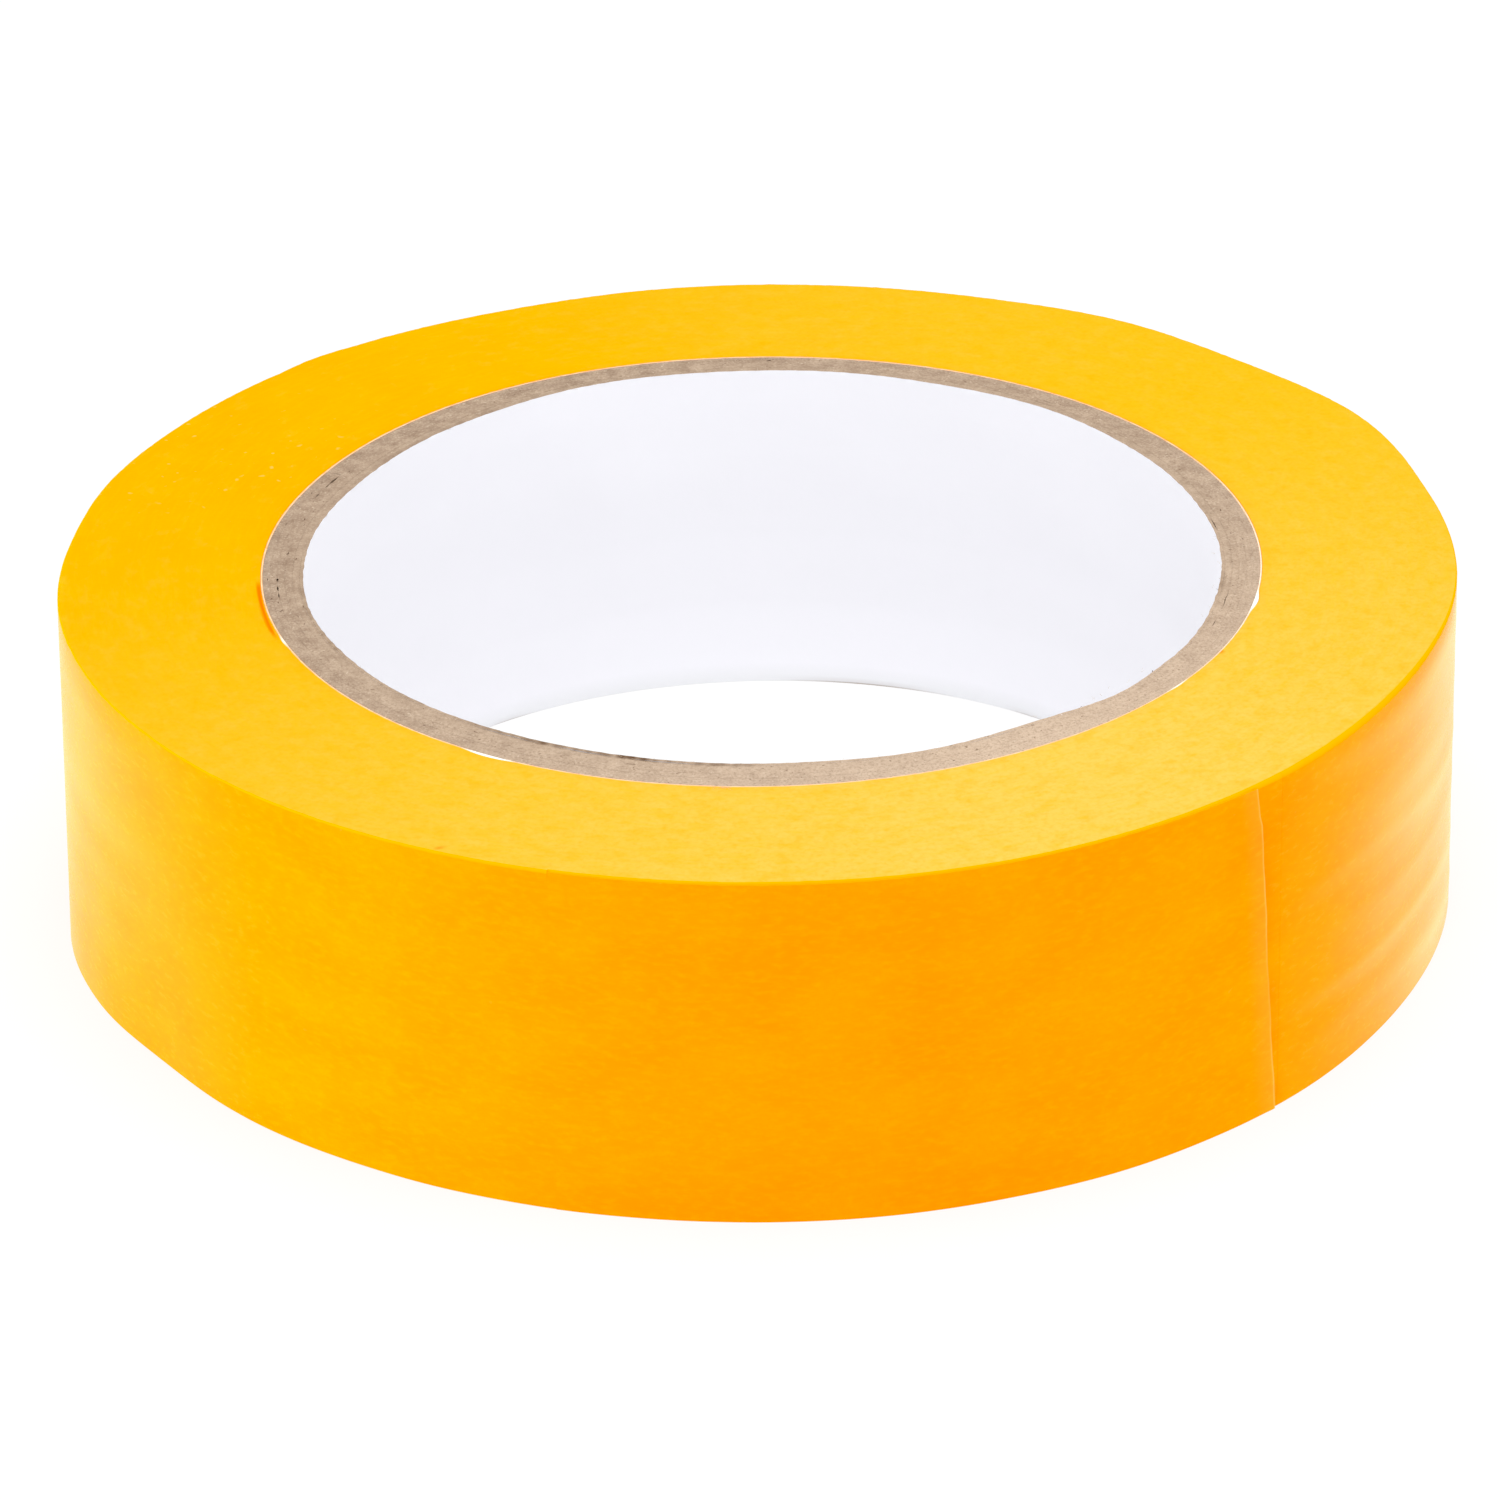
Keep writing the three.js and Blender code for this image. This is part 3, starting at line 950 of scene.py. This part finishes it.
def add_core():
    """The liner, the plies and the wrap, from the bore outwards."""
    layers = [("bore_liner", "core_liner", LINER_SEAM, [WHITE_PAPER, BOARD_CUT], LINER_ROUGHNESS)]
    for ply, node in enumerate(PLY_NODES):
        name = f"board_ply_{ply + 1}"
        layers.append((name, node, PLY_SEAMS[ply], [BOARD_FACE, BOARD_CUT], PLY_ROUGHNESS))
    layers.append(("core_wrap", "core_outer_wrap", WRAP_SEAM, [WRAP_PAPER, WRAP_PAPER], WRAP_ROUGHNESS))
    inner = BORE_RADIUS
    for index, (name, node, seam, materials, roughness) in enumerate(layers):
        outer = outer_radius(node)
        swell = WRAP_SWELLINGS if node == "core_outer_wrap" else ()
        piece = build_layer(name, index, inner, outer, seam, materials, roughness, swell)
        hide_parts(node)
        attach(piece, "roll")
        inner = outer + GLUE


# ---------------------------------------------------------------- loose fibres on the cut board

FIBRE_POINTS = 6
FIBRE_SIDES = 4


def fibre_path(random, radius, deg, length, straight):
    """Points of one fibre that lies on the top end face and lifts off at one end."""
    start = polar(radius, deg, WIDTH + end_rise(np.array(radius)))
    heading = math.radians(deg + 90) + random.normal(0, 0.3 if straight else 0.9)
    curl = random.normal(0, 0.4 if straight else 1.2)
    points = [start]
    for _ in range(FIBRE_POINTS - 1):
        heading += curl / FIBRE_POINTS
        step = np.array([math.cos(heading), math.sin(heading), 0]) * length / FIBRE_POINTS
        step[2] = 0 if straight else random.uniform(0, 0.03) * MM
        points.append(points[-1] + step)
    return np.array(points)


def fibre_tubes(random, paths, thinnest, thickest):
    """One mesh's points and faces: a closed, tapering tube along each path."""
    points = []
    faces = []
    for path in paths:
        thick = random.uniform(thinnest, thickest) * MM
        first = len(points)
        for step, place in enumerate(path):
            ahead = path[min(step + 1, len(path) - 1)] - path[max(step - 1, 0)]
            ahead = ahead / np.linalg.norm(ahead)
            side = np.cross(ahead, (0, 0, 1))
            side = side / np.linalg.norm(side)
            up = np.cross(side, ahead)
            size = thick * (1 - 0.6 * step / (len(path) - 1))
            for corner in range(FIBRE_SIDES):
                angle = 2 * math.pi * corner / FIBRE_SIDES
                points.append(place + size * (side * math.cos(angle) + up * math.sin(angle)))
        for step in range(len(path) - 1):
            for corner in range(FIBRE_SIDES):
                a = first + step * FIBRE_SIDES + corner
                b = first + step * FIBRE_SIDES + (corner + 1) % FIBRE_SIDES
                faces.append((a, b, b + FIBRE_SIDES, a + FIBRE_SIDES))
        faces.append(tuple(reversed(range(first, first + FIBRE_SIDES))))
        faces.append(tuple(range(len(points) - FIBRE_SIDES, len(points))))
    return np.array(points), faces


# Marks on the cut end of the core: radius in millimetres, angle, length in millimetres
DARK_MARKS = (
    (39.31, 357.8, 0.5), (39.87, 12.9, 0.4), (40.1, 0.6, 0.35), (39.77, 353.4, 0.3),
    (39.09, 343.3, 0.6), (39.05, 349.6, 0.9), (39.3, 347.0, 0.6), (39.47, 168.4, 0.4),
    (39.14, 166.1, 0.35), (39.48, 178.3, 0.45), (40.83, 190.5, 0.4), (40.0, 262.0, 0.5),
    (39.2, 256.0, 0.7), (40.74, 160.8, 0.5), (40.86, 157.6, 0.6),
)
DARK_SPECKS = 36
# Tufts of pale hairs on it: radius in millimetres, angle, number of hairs
PALE_TUFTS = ((42.0, 267.2, 9), (40.5, 159.8, 5), (40.1, 188.0, 6), (41.7, 85.1, 4), (39.4, 344.8, 3))


# Single pale hairs, and the radii in millimetres near which they lie
PALE_HAIRS = 170
HAIR_RADII = [38.3, 38.6, 39.6, 40.3, 41.3]


def add_fibres():
    """Fine curved hairs on the core's cut end, pale ones that stand up and dark ones that lie in it."""
    random = np.random.default_rng(21)
    pale = []
    for _ in range(PALE_HAIRS):
        radius = random.choice(HAIR_RADII) + random.normal(0, 0.25)
        pale.append((radius, random.uniform(0, 360), random.uniform(0.25, 0.8)))
    for radius, deg, count in PALE_TUFTS:
        for _ in range(count):
            near_radius = radius + random.normal(0, 0.12)
            near_deg = deg + random.normal(0, 0.5)
            pale.append((near_radius, near_deg, random.uniform(0.4, 0.9)))
    paths = [fibre_path(random, r * MM, deg, length * MM, False) for r, deg, length in pale]
    points, faces = fibre_tubes(random, paths, 0.008, 0.016)
    hairs = new_object("pale_fibres", points, faces, [PALE_FIBRE])

    dark = list(DARK_MARKS)
    for _ in range(DARK_SPECKS):
        dark.append((random.uniform(38.5, 41.2), random.uniform(0, 360), random.uniform(0.15, 0.45)))
    paths = [fibre_path(random, r * MM, deg, length * MM, True) for r, deg, length in dark]
    points, faces = fibre_tubes(random, paths, 0.02, 0.045)
    specks = new_object("dark_fibres", points, faces, [DARK_FIBRE])
    for piece in (hairs, specks):
        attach(piece, "roll")


# ---------------------------------------------------------------- studio and camera

# The camera stands nearly in front of the roll and looks down on it, with a long lens
CAMERA_TURN_DEG = 1.75
CAMERA_BACK = 541.11 * MM
CAMERA_UP = 286.41 * MM
CAMERA_AIM = Vector((-1.006 * MM, 0, 12.014 * MM))
CAMERA_ROLL_DEG = -0.995
LENS_MM = 171.87
SENSOR_MM = 36


def add_camera():
    """The camera, turned about the roll's axis and rolled a little about its own."""
    turn = Matrix.Rotation(math.radians(CAMERA_TURN_DEG), 3, "Z")
    place = turn @ Vector((0, -CAMERA_BACK, CAMERA_UP))
    forward = (turn @ CAMERA_AIM - place).normalized()
    right = forward.cross(Vector((0, 0, 1))).normalized()
    up = right.cross(forward)
    roll = math.radians(CAMERA_ROLL_DEG)
    rolled_right = right * math.cos(roll) + up * math.sin(roll)
    rolled_up = up * math.cos(roll) - right * math.sin(roll)
    matrix = Matrix((rolled_right, rolled_up, -forward)).transposed().to_4x4()
    matrix.translation = place
    data = bpy.data.cameras.new("camera")
    data.lens = LENS_MM
    data.sensor_width = SENSOR_MM
    camera = bpy.data.objects.new("camera", data)
    camera.matrix_world = matrix
    bpy.context.scene.collection.objects.link(camera)
    bpy.context.scene.camera = camera


def add_soft_box(name, place, aim, size, power, colour=(1, 1, 1)):
    """A rectangular light at a place, turned to face what it is aimed at."""
    data = bpy.data.lights.new(name, "AREA")
    data.shape = "RECTANGLE"
    data.size, data.size_y = size
    data.energy = power
    data.color = colour
    light = bpy.data.objects.new(name, data)
    light.location = place
    light.rotation_euler = (Vector(aim) - Vector(place)).to_track_quat("-Z", "Y").to_euler()
    bpy.context.scene.collection.objects.link(light)


def add_floor():
    """A lit white table: bright enough that only the contact shadow shows on it."""
    size = 3.0
    mesh = bpy.data.meshes.new("floor")
    corners = [(-size, -size, 0), (size, -size, 0), (size, size, 0), (-size, size, 0)]
    mesh.from_pydata(corners, [], [(0, 1, 2, 3)])
    g = Graph("white_table")
    material = g.finish(Base_Color=(0.18, 0.18, 0.18), Roughness=0.9, Specular_IOR_Level=0.0,
                        Emission_Color=(1.0, 1.0, 1.0), Emission_Strength=0.8)
    mesh.materials.append(material)
    floor = bpy.data.objects.new("floor", mesh)
    bpy.context.scene.collection.objects.link(floor)


def add_studio():
    """White surroundings and three soft boxes. The side boxes reach no higher than the roll's rim, so
    that they light its side and not its bore."""
    scene = bpy.context.scene
    world = bpy.data.worlds.new("studio")
    world.use_nodes = True
    background = world.node_tree.nodes["Background"]
    background.inputs["Color"].default_value = (1.0, 1.0, 1.0, 1.0)
    background.inputs["Strength"].default_value = 1.0
    scene.world = world
    add_floor()
    add_soft_box("left_box", (-0.9, -0.17, 0.016), (0, 0, 0.016), (0.6, 0.03), 5.8, (1.0, 1.0, 0.85))
    add_soft_box("right_box", (0.85, -0.3, 0.016), (0, 0, 0.016), (0.6, 0.03), 1.6)
    add_soft_box("top_box", (0.04, -0.06, 0.75), (0, 0, 0.02), (0.4, 0.4), 2.7)
    scene.view_settings.view_transform = "Standard"
    scene.view_settings.look = "None"
    scene.view_settings.use_curve_mapping = True
    scene.view_settings.curve_mapping.black_level = (0.01, 0.01, 0.01)
    scene.view_settings.curve_mapping.update()


add_camera()
add_studio()
add_tape()
add_core()
add_fibres()
